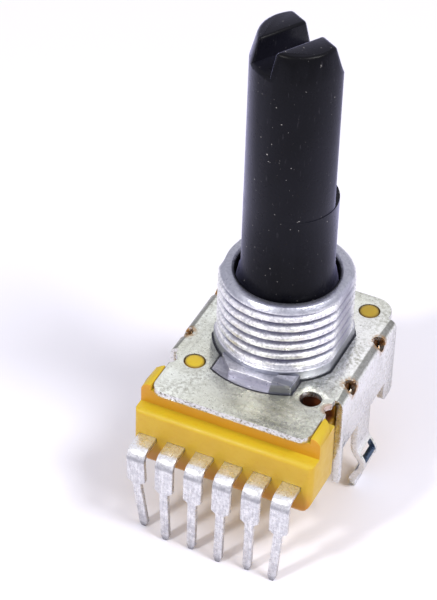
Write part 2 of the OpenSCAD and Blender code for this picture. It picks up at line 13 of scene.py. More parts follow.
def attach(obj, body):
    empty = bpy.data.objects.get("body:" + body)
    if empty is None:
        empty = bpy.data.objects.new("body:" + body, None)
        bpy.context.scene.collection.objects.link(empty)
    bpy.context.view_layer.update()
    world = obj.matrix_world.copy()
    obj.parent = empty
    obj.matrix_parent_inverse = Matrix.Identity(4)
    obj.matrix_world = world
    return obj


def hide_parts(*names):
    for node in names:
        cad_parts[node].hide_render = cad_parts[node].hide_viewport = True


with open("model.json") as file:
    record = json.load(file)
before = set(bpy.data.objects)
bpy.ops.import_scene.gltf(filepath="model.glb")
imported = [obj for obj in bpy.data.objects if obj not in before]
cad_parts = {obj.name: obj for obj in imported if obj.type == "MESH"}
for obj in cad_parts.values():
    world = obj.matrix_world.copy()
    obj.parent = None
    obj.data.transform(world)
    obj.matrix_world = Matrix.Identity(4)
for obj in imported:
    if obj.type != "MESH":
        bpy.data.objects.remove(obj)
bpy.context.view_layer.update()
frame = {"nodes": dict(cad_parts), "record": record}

NODES = frame["nodes"]
MM = 0.001
SHARP = math.radians(32)
NEARLY_FLAT = math.radians(1.5)
CLOSE = 0.02
TINY = 0.001

# Thread, rim and bore of the bushing
CREST_R = 4.4
ROOT_DEPTH = 0.42
PITCH = 0.75
GROOVE_HALF = 0.25
ROOT_HALF = 0.05
GROOVE_Z = 1.46
GROOVE_TURN = -66.2 / 360
THREAD_TOP = 5.2
THREAD_ROWS = 110
RUN_OUT = 0.15
FLAT_X = 4.1
COLLAR_R = 4.56
COLLAR_TOP = 0.8
COLLAR_CHAMFER = 0.06
RIM_R = 4.0
RIM_TOP = 5.6
RIM_CHAMFER = 0.04
RIM_EDGE = 0.03
BORE_R = 3.35
MOUTH_WIDER = 0.24
MOUTH_STEP = 0.18
MOUTH_DEPTH = 0.2
POCKET_R = 4.0
POCKET_TOP = -0.7
FLANGE_R = 4.85
FLANGE_LOW = -1.65
RING_SEGMENTS = 288

# Tongue of the bushing
TONGUE_R = 5.8
TONGUE_HALF = 2.75
TONGUE_BACK = -3.8
TONGUE_STEPS = 14
STEP_LOW = -0.1
STEP_TOP = 0.45
STEP_FRONT = 5.1
STEP_DRAFT = 0.05
LUG_TOP = 0.6
LUG_LEFT = 1.4
LUG_DRAFT = 0.12
LUG_BACK = -4.6

# Shaft
STEM_R = 3.0
FLAT_Z = 11.5
TIP_Z = 21.75
TIP_ROUND = 0.2
SHAFT_SOFT = 0.06
SHOULDER_Z = 5.2
SHOULDER_HALF = 0.1
SHOULDER_DROP = 0.6
SEAM_STEP = 0.04
SEAM_SIDE = math.radians(10)
SEAM_START = 0.3
SEAM_FADE = 0.4
SEAM_HIDDEN = 0.9

# Legs. Each bend has a depth below the plate and a reach out from the wall
KINK = [(0.0, 0.0), (6.75, 0.0), (7.75, 0.68), (9.2, 0.0), (10.3, -0.06)]
KINK_TOP = -6.2
KINK_SPREAD = 0.9
KINK_SAMPLES = 12
KINK_STRETCH = 1.22
SLOPE_STEP = 0.01
LEG_CUTS = 35
CUT_STEP = 0.1
CUT_CLOSE = 0.01
WALL_MIDDLE = 5.825
LEG_X = 6.4
LEG_Y = -0.27
LEG_REACH = 1.3
HOOK_Z = -7.9
WINDOW_Z = -7.3
WINDOW_LOW = -7.7
WINDOW_REACH = 0.7
WINDOW_WIDER = 0.22

# Plate
SHEET = 0.45
SHEET_LOW = -SHEET
BRACKET_SOFT = 0.04
PLATE_HALF = 5.45
RELIEF_X = 5.75
RELIEF_Y = (-2.5, 2.2)
RELIEF_Z = -0.3
CORNER_RELIEF_Y = -5.3
HOLE_X = 4.03

# Base
BASE_SOFT = 0.05
BASE_MERGE = 0.07
BLOCK_HALF = 6.2
BLOCK_FRONT = 9.3
BLOCK_BACK = -5
BLOCK_LOW = -5.6
BLOCK_CORNER = 0.4
EAR_ROUND = 0.6
EAR_TOP = 0.0001
LOWER_ROUND = 1.3
BODY_HALF = 5.45
BODY_BACK = 5.9
BACK_CORNER = 1.5
CORNER_STEPS = 8
FAR = 20
LEAD_SOFT = 0.05

# Places that the looks mark
DARK_REFLECTION_SPOT = (2.4, -6.9, 0.0)
HIGHLIGHT_SPOT = (4.8, 0.8, 0.0)
WORN = (-1.2, -2.6, 17.0)
BACK_PEG = (HOLE_X, 4.68, 0.0)
FRONT_PEG = (-HOLE_X, -4.93, 0.0)
SHADE_UNDER_HOLE = (HOLE_X, -4.4, -1.6)
RECESS_Y = -8.35
FOOT_HIGH = -3.5
FOOT_LOW = -5.0
LEAD_TOP_Z = -3.5
LEAD_BEND_Z = -3.98
LEAD_DARKENS_Z = -7.5

# Camera, solved from the photograph
VIEW_TURN = math.radians(23.785)
VIEW_RISE = math.radians(40.007)
VIEW_ROLL = math.radians(2.0)
VIEW_BACK = 180.01
VIEW_RIGHT = -4.226
VIEW_UP = 2.223
FOCAL_PIXELS = 2787.83
PHOTO_HEIGHT = 600
SENSOR = 36

# Stage
FLOOR_Z = -10.2
FLOOR_HALF = 500
DOME_ON_DULL = 0.72
DOME_ON_SHINY = 1.19


def tone(red, green, blue):
    """A colour given in 0 to 255, as the linear colour that a shader takes."""
    return tuple((channel / 255) ** 2.2 for channel in (red, green, blue)) + (1.0,)


def held(value):
    """The value, held between nothing and one."""
    return min(1.0, max(0.0, value))


class Paint:
    """A material whose noise, ramps, masks and bumps are in millimetres of the object's own space."""

    def __init__(self, name, metallic=0.0, roughness=0.5):
        self.material = bpy.data.materials.new(name)
        self.material.use_nodes = True
        self.tree = self.material.node_tree
        self.shader = self.tree.nodes["Principled BSDF"]
        self.shader.inputs["Metallic"].default_value = metallic
        self.shader.inputs["Roughness"].default_value = roughness
        where = self.tree.nodes.new("ShaderNodeTexCoord")
        self.space = self.add("ShaderNodeMapping", Vector=where.outputs["Object"])
        self.space.inputs["Scale"].default_value = (1 / MM, 1 / MM, 1 / MM)
        self.normal = None

    def add(self, kind, **inputs):
        node = self.tree.nodes.new(kind)
        for name, value in inputs.items():
            self.feed(node.inputs[name], value)
        return node

    def feed(self, socket, value):
        if isinstance(value, bpy.types.NodeSocket):
            self.tree.links.new(value, socket)
        else:
            socket.default_value = value

    def noise(self, scale, detail=3.0, stretch=(1, 1, 1), lean=0.0):
        """Fractal noise with this many cells in a millimetre."""
        space = self.add("ShaderNodeMapping", Vector=self.space.outputs[0])
        space.inputs["Scale"].default_value = [scale * s for s in stretch]
        space.inputs["Rotation"].default_value = (0, 0, lean)
        node = self.add("ShaderNodeTexNoise", Vector=space.outputs[0], Scale=1.0, Detail=detail)
        return node.outputs["Fac"]

    def ramp(self, value, low, high, to_low=0.0, to_high=1.0):
        """Maps low to high onto to_low to to_high, held at the ends."""
        node = self.add("ShaderNodeMapRange", Value=value)
        limits = zip(("From Min", "From Max", "To Min", "To Max"), (low, high, to_low, to_high))
        for name, number in limits:
            node.inputs[name].default_value = number
        return node.outputs[0]

    def calc(self, kind, first, second=0.0):
        node = self.tree.nodes.new("ShaderNodeMath")
        node.operation = kind
        self.feed(node.inputs[0], first)
        self.feed(node.inputs[1], second)
        return node.outputs[0]

    def both(self, first, second):
        return self.calc("MULTIPLY", first, second)

    def mix(self, share, first, second):
        node = self.tree.nodes.new("ShaderNodeMix")
        node.data_type = "RGBA"
        self.feed(node.inputs[0], share)
        self.feed(node.inputs[6], first)
        self.feed(node.inputs[7], second)
        return node.outputs[2]

    def over(self, color, mask, share, other):
        """Lays another colour over this one by a share, where the mask is one."""
        return self.mix(self.both(mask, share), color, other)

    def axis(self, name):
        """One coordinate of the object's space, in millimetres."""
        split = self.add("ShaderNodeSeparateXYZ", Vector=self.space.outputs[0])
        return split.outputs[name]

    def radius(self):
        """The distance from the shaft's axis, in millimetres."""
        square_x = self.both(self.axis("X"), self.axis("X"))
        square_y = self.both(self.axis("Y"), self.axis("Y"))
        return self.calc("SQRT", self.calc("ADD", square_x, square_y))

    def facing(self, name):
        """One part of the surface's own normal in the object's space."""
        way = self.tree.nodes.new("ShaderNodeTexCoord")
        split = self.add("ShaderNodeSeparateXYZ", Vector=way.outputs["Normal"])
        return split.outputs[name]

    def band(self, value, middle, half, soft):
        """One where the value is within half of middle, fading over soft."""
        away = self.calc("ABSOLUTE", self.calc("SUBTRACT", value, middle))
        return self.ramp(away, half, half + soft, 1.0, 0.0)

    def near(self, place, inner, outer):
        """One within inner of a place, fading to nothing at outer."""
        node = self.tree.nodes.new("ShaderNodeVectorMath")
        node.operation = "DISTANCE"
        self.feed(node.inputs[0], self.space.outputs[0])
        node.inputs[1].default_value = place
        return self.ramp(node.outputs["Value"], inner, outer, 1.0, 0.0)

    def bump(self, height, depth):
        """A bump of this many millimetres, on top of those before it."""
        node = self.add("ShaderNodeBump", Height=height, Strength=1.0, Distance=depth * MM)
        if self.normal is not None:
            self.feed(node.inputs["Normal"], self.normal)
        self.normal = node.outputs[0]

    def done(self, color, roughness=None):
        self.feed(self.shader.inputs["Base Color"], color)
        if roughness is not None:
            self.feed(self.shader.inputs["Roughness"], roughness)
        if self.normal is not None:
            self.feed(self.shader.inputs["Normal"], self.normal)
        return self.material


# Materials

def tin_surface(p):
    """Broad patches with a painted dark reflection in front, a painted highlight at the right and a painted
    greyer shade on the walls.
    """
    patches = p.ramp(p.noise(0.16, 2.0, (1.0, 0.6, 1.0), 0.5), 0.40, 0.62)
    mottle = p.ramp(p.noise(1.1, 5.0), 0.38, 0.66)
    streaks = p.ramp(p.noise(1.6, 4.0, (0.35, 1.6, 1.0), 0.35), 0.46, 0.62)
    dark_reflection = p.near(DARK_REFLECTION_SPOT, 0.8, 3.6)
    upright = p.ramp(p.calc("ABSOLUTE", p.facing("Z")), 0.7, 0.3)
    color = p.mix(patches, tone(250, 255, 246), tone(214, 216, 202))
    color = p.over(color, mottle, 0.4, tone(204, 206, 190))
    # painted dark reflection in front, darker along the streaks
    color = p.over(color, dark_reflection, 0.55, tone(198, 196, 164))
    color = p.over(color, p.both(dark_reflection, streaks), 0.55, tone(128, 126, 98))
    # painted highlight on the plate at the right
    color = p.over(color, p.near(HIGHLIGHT_SPOT, 2.0, 5.4), 0.7, tone(255, 255, 255))
    # painted greyer shade on the upright walls
    return p.over(color, upright, 0.8, tone(222, 220, 224))


def tin_grain(p, color):
    """Grain that comes and goes and is fainter on the walls, with dark specks."""
    grain = p.ramp(p.noise(4.0, 5.0), 0.42, 0.60)
    upright = p.ramp(p.calc("ABSOLUTE", p.facing("Z")), 0.7, 0.3)
    uneven = p.ramp(p.noise(0.35, 2.0), 0.40, 0.58, 0.15, 0.75)
    share = p.both(uneven, p.ramp(upright, 0.0, 1.0, 1.0, 0.4))
    specks = p.ramp(p.noise(6.0, 3.0), 0.60, 0.70)
    color = p.over(color, grain, share, tone(176, 176, 164))
    return p.over(color, specks, 0.6, tone(110, 106, 92))


def tin_edges(p, color):
    """Painted dark reflection along the bend lines, and a chipped cut edge in front."""
    slanted = p.band(p.calc("ABSOLUTE", p.facing("X")), 0.5, 0.2, 0.12)
    fold_dark_reflection = p.both(slanted, p.ramp(p.facing("Z"), 0.2, 0.4))
    forward = p.ramp(p.facing("Y"), -0.5, -0.8)
    cut_edge = p.both(forward, p.ramp(p.axis("Z"), SHEET_LOW - 0.05, SHEET_LOW))
    chips = p.ramp(p.noise(5.0, 3.0), 0.52, 0.66)
    # painted dark reflection along the bends
    color = p.over(color, fold_dark_reflection, 0.75, tone(104, 104, 100))
    return p.over(color, cut_edge, chips, tone(110, 102, 84))


def tin_openings(p, color):
    """Painted blue-grey shade inside the legs' windows, a painted warm reflection with shade at the plate's
    corner and gold round the relief holes.
    """
    window_shade = p.both(p.near((LEG_X, LEG_Y, WINDOW_Z), 0.92, 0.97), p.ramp(p.facing("X"), 0.75, 0.65))
    inward = p.ramp(p.both(p.facing("X"), p.axis("X")), -0.5, -1.5)
    inside = p.both(inward, p.band(p.axis("Z"), HOOK_Z, 0.4, 0.2))
    # painted blue-grey shade in the windows and on the legs' inner faces
    color = p.mix(p.calc("MAXIMUM", window_shade, inside), color, tone(88, 104, 128))
    warm_reflection = p.near((PLATE_HALF, CORNER_RELIEF_Y, 0.0), 0.45, 0.62)
    # painted warm reflection with shade round the corner relief
    color = p.over(color, warm_reflection, 0.5, tone(176, 122, 82))
    for y in RELIEF_Y:
        for side in (-1, 1):
            gold = p.near((side * RELIEF_X, y, RELIEF_Z), 0.45, 0.85)
            color = p.over(color, gold, p.ramp(p.noise(3.0, 3.0), 0.40, 0.55), tone(170, 124, 62))
    return color


def tinned_steel():
    p = Paint("tinned steel", metallic=0.88)
    color = tin_openings(p, tin_edges(p, tin_grain(p, tin_surface(p))))
    p.bump(p.noise(9.0, 4.0), 0.014)
    p.bump(p.noise(3.2, 3.0), 0.016)
    p.bump(p.noise(0.9, 2.0), 0.02)
    return p.done(color, p.ramp(p.noise(1.7, 4.0), 0.3, 0.7, 0.16, 0.34))


def zinc_barrel(p, radius, color):
    """Painted highlight on the crests, painted shade in the grooves, and a greyer rim and collar."""
    outside = p.ramp(radius, BORE_R + 0.5, BORE_R + 0.6)
    threaded = p.ramp(p.axis("Z"), COLLAR_TOP - 0.05, COLLAR_TOP + 0.05)
    crest_highlight = p.both(p.ramp(radius, CREST_R - 0.2, CREST_R - 0.04), threaded)
    groove_shade = p.both(p.both(p.ramp(radius, CREST_R - 0.12, CREST_R - 0.36), threaded), outside)
    rim = p.ramp(p.axis("Z"), THREAD_TOP + 0.05, THREAD_TOP + 0.15)
    collar = p.both(p.ramp(p.axis("Z"), COLLAR_TOP + 0.02, COLLAR_TOP - 0.05), outside)
    collar = p.both(collar, p.ramp(radius, COLLAR_R + 0.06, COLLAR_R + 0.02))
    # painted highlight on the thread's crests
    color = p.over(color, crest_highlight, 0.85, tone(255, 254, 255))
    # painted shade in the thread's grooves
    color = p.over(color, p.both(groove_shade, p.calc("SUBTRACT", 1.0, rim)), 0.75, tone(112, 106, 134))
    color = p.over(color, rim, 0.8, tone(158, 160, 172))
    return p.over(color, collar, 0.95, tone(142, 144, 154))


def zinc_tongue(p, radius, color):
    """A greyer tongue, painted shade on the step's front under a painted highlight along its ridge, and a
    dark lug.
    """
    low = p.ramp(p.axis("Z"), STEP_TOP + 0.02, STEP_TOP - 0.05, 0.4, 1.0)
    low = p.both(low, p.ramp(radius, COLLAR_R, COLLAR_R + 0.1))
    front = p.ramp(p.axis("Y"), 0.06 - STEP_FRONT, -0.02 - STEP_FRONT)
    front = p.both(front, p.ramp(p.axis("Z"), STEP_TOP - 0.01, STEP_TOP - 0.05))
    ridge_highlight = p.band(p.axis("Y"), -STEP_FRONT, 0.04, 0.03)
    ridge_highlight = p.both(ridge_highlight, p.ramp(p.axis("Z"), STEP_TOP - 0.07, STEP_TOP - 0.03))
    lug = p.ramp(p.axis("X"), LUG_LEFT - 0.1, LUG_LEFT)
    lug = p.both(lug, p.ramp(p.axis("Y"), LUG_BACK + 0.1, LUG_BACK - 0.1))
    color = p.over(color, low, 0.8, tone(164, 163, 172))
    # painted shade on the step's front face
    color = p.over(color, front, 0.75, tone(146, 145, 156))
    # painted highlight along the step's front edge
    color = p.mix(ridge_highlight, color, tone(255, 255, 255))
    return p.over(color, lug, 0.75, tone(122, 125, 134))


def cast_zinc():
    p = Paint("cast zinc", metallic=0.9)
    radius = p.radius()
    patches = p.ramp(p.noise(0.5, 3.0), 0.38, 0.64)
    grain = p.ramp(p.noise(5.0, 5.0), 0.42, 0.60)
    bore = p.ramp(radius, BORE_R + 0.12, BORE_R + 0.02)
    color = p.mix(patches, tone(232, 232, 240), tone(204, 206, 218))
    color = zinc_tongue(p, radius, zinc_barrel(p, radius, color))
    color = p.over(color, grain, 0.4, tone(136, 138, 152))
    # painted black shade inside the bore
    color = p.mix(bore, color, tone(14, 14, 16))
    p.bump(p.noise(10.0, 3.0), 0.01)
    p.bump(p.noise(2.5, 3.0), 0.02)
    return p.done(color, p.ramp(p.noise(2.2, 4.0), 0.3, 0.7, 0.26, 0.42))


def shaft_plastic():
    p = Paint("charcoal plastic", roughness=0.4)
    p.shader.inputs["Specular IOR Level"].default_value = 0.1
    p.shader.inputs["Sheen Weight"].default_value = 1.0
    p.shader.inputs["Sheen Roughness"].default_value = 0.35
    p.shader.inputs["Sheen Tint"].default_value = tone(206, 206, 255)
    cloud = p.ramp(p.noise(0.35, 3.0), 0.35, 0.65)
    scuff = p.ramp(p.noise(2.0, 4.0, (3.0, 3.0, 0.5)), 0.66, 0.76)
    dust = p.ramp(p.noise(4.5, 2.0), 0.725, 0.77)
    dusty = p.ramp(p.near(WORN, 1.5, 4.0), 0.0, 1.0, 0.4, 0.9)
    color = p.mix(cloud, tone(6, 6, 8), tone(14, 14, 18))
    color = p.over(color, scuff, 0.3, tone(86, 84, 90))
    color = p.over(color, dust, dusty, tone(205, 200, 196))
    p.bump(p.noise(6.0, 3.0), 0.006)
    return p.done(color, p.ramp(p.noise(1.2, 4.0), 0.3, 0.7, 0.24, 0.38))


def amber_surface(p):
    """Cloudy amber, painted yellower where it faces up, with painted shade in the recess and low on the
    front.
    """
    cloud = p.ramp(p.noise(0.4, 3.0), 0.35, 0.65)
    grain = p.ramp(p.noise(5.0, 3.0), 0.55, 0.72)
    forward = p.ramp(p.facing("Y"), -0.4, -0.8)
    recess_shade = p.both(p.ramp(p.axis("Y"), RECESS_Y - 0.07, RECESS_Y + 0.07), forward)
    low = p.both(p.ramp(p.axis("Z"), FOOT_HIGH, FOOT_LOW), forward)
    color = p.mix(cloud, tone(208, 170, 44), tone(202, 161, 38))
    # painted lighter yellow where the faces look up
    color = p.over(color, p.ramp(p.facing("Z"), 0.2, 0.8), 0.8, tone(200, 174, 36))
    # painted shade on the recess wall under the plate
    color = p.over(color, recess_shade, 0.85, tone(204, 138, 22))
    # painted shade low on the front faces, darker towards the bottom
    color = p.over(color, low, 0.75, tone(200, 124, 30))
    return p.over(color, grain, 0.3, tone(196, 142, 28))


def amber_marks(p, color):
    """Painted shade under the holes, a duller back peg and a rim round each peg."""
    # painted shade in the hollow under the front right hole
    color = p.mix(p.near(SHADE_UNDER_HOLE, 1.2, 1.9), color, tone(104, 56, 30))
    color = p.over(color, p.near(BACK_PEG, 0.7, 0.8), 0.5, tone(160, 128, 40))
    for place in (BACK_PEG, FRONT_PEG):
        rim = p.calc("SUBTRACT", p.near(place, 0.7, 0.8), p.near(place, 0.46, 0.58))
        color = p.over(color, rim, 0.7, tone(130, 108, 44))
    for y in RELIEF_Y:
        # painted shade under the relief holes in the bends
        color = p.mix(p.near((PLATE_HALF, y, -1.0), 0.7, 1.1), color, tone(84, 52, 20))
    return color


def base_plastic():
    p = Paint("amber plastic", roughness=0.42)
    p.shader.inputs["Subsurface Weight"].default_value = 0.15
    p.shader.inputs["Subsurface Radius"].default_value = (1.0, 0.55, 0.15)
    p.shader.inputs["Subsurface Scale"].default_value = 0.6 * MM
    color = amber_marks(p, amber_surface(p))
    p.bump(p.noise(8.0, 3.0), 0.008)
    p.bump(p.noise(1.0, 2.0), 0.02)
    return p.done(color, p.ramp(p.noise(1.6, 3.0), 0.3, 0.7, 0.36, 0.5))


def tinned_lead():
    """Mottled strip with gold stains on its flat top, which is painted lighter where it faces up, a painted
    dark reflection along the bend, and darker towards the tip.
    """
    p = Paint("tinned lead", metallic=0.9)
    mottle = p.ramp(p.noise(2.6, 5.0), 0.40, 0.62)
    streaks = p.ramp(p.noise(4.0, 3.0, (2.4, 2.4, 0.35)), 0.42, 0.60)
    gold = p.ramp(p.noise(6.5, 4.0), 0.48, 0.62)
    grain = p.ramp(p.noise(6.0, 5.0), 0.50, 0.62)
    flat_top = p.ramp(p.axis("Z"), LEAD_TOP_Z - 0.1, LEAD_TOP_Z + 0.1)
    flat_top = p.both(p.ramp(p.facing("Z"), 0.6, 0.95), flat_top)
    bend = p.band(p.axis("Z"), LEAD_BEND_Z, 0.06, 0.16)
    low = p.ramp(p.axis("Z"), LEAD_DARKENS_Z, FLOOR_Z)
    tip = p.ramp(p.axis("Z"), FLOOR_Z + 0.5, FLOOR_Z + 0.1)
    color = p.over(tone(238, 238, 240), mottle, 0.6, tone(196, 196, 202))
    color = p.over(color, streaks, 0.35, tone(166, 166, 172))
    color = p.over(color, grain, 0.3, tone(136, 136, 142))
    # painted dark reflection along the bend
    color = p.over(color, bend, 0.6, tone(124, 124, 130))
    # painted lighter top, where the strip faces up
    color = p.over(color, flat_top, 0.7, tone(236, 238, 244))
    color = p.over(color, p.both(flat_top, gold), 0.3, tone(168, 154, 112))
    # darker towards the bottom, and darkest at the tip
    color = p.over(color, low, 0.3, tone(128, 124, 132))
    color = p.over(color, tip, 0.6, tone(84, 82, 88))
    p.bump(p.noise(6.0, 4.0), 0.012)
    return p.done(color, p.ramp(p.noise(2.4, 4.0), 0.3, 0.7, 0.22, 0.40))


def plain(name, light, dark, metallic, roughness, scale):
    """A quiet material with mottled colour, uneven gloss and a fine bump."""
    p = Paint(name, metallic=metallic)
    cloud = p.ramp(p.noise(scale, 4.0), 0.35, 0.65)
    p.bump(p.noise(scale * 6, 3.0), 0.008)
    gloss = p.ramp(p.noise(scale * 2, 3.0), 0.3, 0.7, roughness - 0.08, roughness + 0.08)
    return p.done(p.mix(cloud, light, dark), gloss)


def all_materials():
    return {
        "tinned_steel": tinned_steel(),
        "cast_zinc": cast_zinc(),
        "shaft_plastic": shaft_plastic(),
        "base_plastic": base_plastic(),
        "tinned_lead": tinned_lead(),
        "laminate": plain("brown laminate", tone(120, 72, 36), tone(88, 50, 24), 0.0, 0.55, 1.5),
        "carbon_print": plain("carbon print", tone(32, 32, 34), tone(46, 46, 48), 0.0, 0.5, 3.0),
        "silver_print": plain("silver print", tone(206, 206, 200), tone(168, 168, 160), 0.8, 0.45, 3.0),
        "rotor_plastic": plain("off-white plastic", tone(222, 218, 206), tone(204, 198, 184), 0.0, 0.45, 1.2),
        "spring_bronze": plain("phosphor bronze", tone(214, 166, 104), tone(178, 130, 78), 0.9, 0.35, 2.0),
        "spring_steel": plain("spring steel", tone(170, 172, 176), tone(130, 132, 138), 0.9, 0.38, 2.0),
    }


MATERIALS = all_materials()
SLOT_OF = {part["node"]: part["material_slot"] for part in frame["record"]["subparts"]}
BODY_OF = {
    name: body
    for body, names in frame["record"]["behaviour"]["bodies"].items()
    for name in names
}


def paint_cad():
    for name, piece in NODES.items():
        for slot in piece.material_slots:
            slot.material = MATERIALS[SLOT_OF[name]]


# Mesh pieces

def linked(name, data):
    """An object that holds this data, in the scene."""
    made = bpy.data.objects.new(name, data)
    bpy.context.scene.collection.objects.link(made)
    return made


def mesh_from(bm, name):
    mesh = bpy.data.meshes.new(name)
    bm.to_mesh(mesh)
    bm.free()
    return mesh


def crease(bm):
    for face in bm.faces:
        face.smooth = True
    for edge in bm.edges:
        edge.smooth = edge.calc_face_angle(0.0) < SHARP


def piece_from(bm, name, node):
    """Turns the mesh into an object that stands for a CAD node and moves with its body."""
    bmesh.ops.recalc_face_normals(bm, faces=bm.faces)
    crease(bm)
    mesh = mesh_from(bm, name)
    mesh.materials.append(MATERIALS[SLOT_OF[node]])
    piece = linked(name, mesh)
    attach(piece, BODY_OF[node])
    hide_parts(node)
    return piece


def soften(bm, width, wanted=None, segments=2):
    """Rounds the sharp edges, or those of them that a test picks out, by this many millimetres."""
    edges = [edge for edge in bm.edges if edge.is_manifold and edge.calc_face_angle(0.0) > SHARP]
    if wanted is not None:
        edges = [edge for edge in edges if wanted(edge)]
    bmesh.ops.bevel(
        bm,
        geom=edges,
        offset=width * MM,
        segments=segments,
        profile=0.5,
        affect="EDGES",
        clamp_overlap=False,
    )


def leg_middle(depth):
    """How far the middle of a leg's sheet stands out from its wall, at this depth below the plate."""
    for (high, out), (low, after) in zip(KINK, KINK[1:]):
        if depth <= low:
            return out + (after - out) * (depth - high) / (low - high)
    return KINK[-1][1]


def curved_middle(depth):
    """The same with its bends rounded, and as far out at its peak."""
    near_by = [
        leg_middle(depth + KINK_SPREAD * (k / KINK_SAMPLES - 0.5))
        for k in range(KINK_SAMPLES + 1)
    ]
    return KINK_STRETCH * sum(near_by) / len(near_by)


def bent_out(x, depth):
    """Where a point of a leg's face lies once the sheet follows the curve."""
    rise = curved_middle(depth + SLOPE_STEP) - curved_middle(depth - SLOPE_STEP)
    slope = rise / (2 * SLOPE_STEP)
    half = SHEET / 2 * math.hypot(1, slope)
    if abs(x) < WALL_MIDDLE + leg_middle(depth):
        half = -half
    return math.copysign(WALL_MIDDLE + curved_middle(depth) + half, x)


def curve_legs(bm):
    """Cuts the legs across in many places, bends them along the curve and widens their windows."""
    for k in range(1, LEG_CUTS + 1):
        level = (0, 0, (KINK_TOP - CUT_STEP * k) * MM)
        geom = bm.verts[:] + bm.edges[:] + bm.faces[:]
        bmesh.ops.bisect_plane(bm, geom=geom, dist=CUT_CLOSE * MM, plane_co=level, plane_no=(0, 0, 1))
    for vert in bm.verts:
        x, y, z = vert.co / MM
        aside = y - LEG_Y
        if z > KINK_TOP or abs(aside) > LEG_REACH:
            continue
        vert.co.x = bent_out(x, -z) * MM
        if z > WINDOW_LOW and abs(aside) < WINDOW_REACH:
            vert.co.y += math.copysign(WINDOW_WIDER * MM, aside)


def on_step(edge):
    return all(abs(vert.co.z / MM - FLAT_Z) < CLOSE for vert in edge.verts)


def on_tip(edge):
    return all(vert.co.z / MM > TIP_Z for vert in edge.verts)


def neither_step_nor_tip(edge):
    return not on_step(edge) and not on_tip(edge)


def shape_shaft(bm):
    """Lowers the shoulder, leaves the moulded step only on the seam's side and rounds the tip."""
    for vert in bm.verts:
        x, y, z = vert.co / MM
        if abs(z - SHOULDER_Z) < SHOULDER_HALF:
            vert.co.z -= SHOULDER_DROP * MM
        if z < FLAT_Z - CLOSE or (z < FLAT_Z + CLOSE and math.hypot(x, y) > STEM_R - CLOSE):
            continue
        toward = math.cos(math.atan2(y, x) - SEAM_SIDE)
        shown = held((toward - SEAM_START) / SEAM_FADE)
        grow = 1 + SEAM_HIDDEN * SEAM_STEP / STEM_R * (1 - shown)
        vert.co.x *= grow
        vert.co.y *= grow
    soften(bm, TIP_ROUND, lambda edge: on_tip(edge) and edge.is_convex, 3)


def kept_within(bm, outline, turn):
    """Keeps what lies inside an endless prism over the outline, tipped by this turn about X."""
    block = bmesh.new()
    prism(block, outline, -FAR, FAR)
    bmesh.ops.rotate(block, verts=block.verts, matrix=Matrix.Rotation(turn, 3, "X"))
    bmesh.ops.recalc_face_normals(block, faces=block.faces)
    shape = linked("shape", mesh_from(bm, "shape"))
    mould = linked("mould", mesh_from(block, "mould"))
    cut = shape.modifiers.new("cut", "BOOLEAN")
    cut.operation = "INTERSECT"
    cut.object = mould
    cut.solver = "EXACT"
    scene_graph = bpy.context.evaluated_depsgraph_get()
    result = bmesh.new()
    result.from_mesh(shape.evaluated_get(scene_graph).to_mesh())
    for used in (shape, mould):
        mesh = used.data
        bpy.data.objects.remove(used)
        bpy.data.meshes.remove(mesh)
    return result


def softened(node, width, outlines=(), shape=None, wanted=None, merge=0.03):
    """The CAD node's own form, cut to outlines, shaped and softened. Points within merge are joined."""
    bm = bmesh.new()
    bm.from_mesh(NODES[node].data)
    bmesh.ops.remove_doubles(bm, verts=bm.verts, dist=TINY * MM)
    for outline, turn in outlines:
        bm = kept_within(bm, outline, turn)
    bmesh.ops.remove_doubles(bm, verts=bm.verts, dist=merge * MM)
    bmesh.ops.dissolve_limit(bm, angle_limit=NEARLY_FLAT, verts=bm.verts, edges=bm.edges)
    if shape is not None:
        shape(bm)
    soften(bm, width, wanted)
    return piece_from(bm, node + "_look", node)


def lathe(bm, rows, segments):
    """A closed ring from rows of height and radius. A radius may be worked out from angle and height."""
    rings = []
    for height, radius in rows:
        ring = []
        for k in range(segments):
            angle = 2 * math.pi * k / segments
            r = radius(angle, height) if callable(radius) else radius
            ring.append(bm.verts.new((r * math.cos(angle) * MM, r * math.sin(angle) * MM, height * MM)))
        rings.append(ring)
    for low, high in zip(rings, rings[1:] + rings[:1]):
        for k in range(segments):
            after = (k + 1) % segments
            bm.faces.new((low[k], low[after], high[after], high[k]))


def drawn_in(outline, draft):
    """The outline with each point drawn towards its middle by the draft."""
    mid_x = sum(x for x, y in outline) / len(outline)
    mid_y = sum(y for x, y in outline) / len(outline)
    points = []
    for x, y in outline:
        reach = math.hypot(x - mid_x, y - mid_y)
        share = (reach - draft) / reach
        points.append((mid_x + (x - mid_x) * share, mid_y + (y - mid_y) * share))
    return points


def prism(bm, outline, low, high, draft=0.0):
    """A solid over a flat outline, drawn in by draft at its top, in millimetres."""
    bottom = [bm.verts.new((x * MM, y * MM, low * MM)) for x, y in outline]
    top = [bm.verts.new((x * MM, y * MM, high * MM)) for x, y in drawn_in(outline, draft)]
    bm.faces.new(bottom)
    bm.faces.new(top)
    count = len(outline)
    for k in range(count):
        after = (k + 1) % count
        bm.faces.new((bottom[k], bottom[after], top[after], top[k]))


def clipped(radius, angle):
    """The radius, cut back to the barrel's two flats."""
    return min(radius, FLAT_X / max(abs(math.cos(angle)), 1e-6))


def thread_radius(angle, height):
    """The helix, running out into the collar below and the chamfer above."""
    turn = (height - GROOVE_Z) / PITCH - angle / (2 * math.pi) + GROOVE_TURN
    away = abs(turn - round(turn)) * PITCH
    share = held((GROOVE_HALF - away) / (GROOVE_HALF - ROOT_HALF))
    smooth = share * share * (3 - 2 * share)
    start = held((height - COLLAR_TOP) / RUN_OUT)
    end = held((THREAD_TOP + 0.05 - height) / RUN_OUT)
    return clipped(CREST_R - ROOT_DEPTH * smooth * start * end, angle)


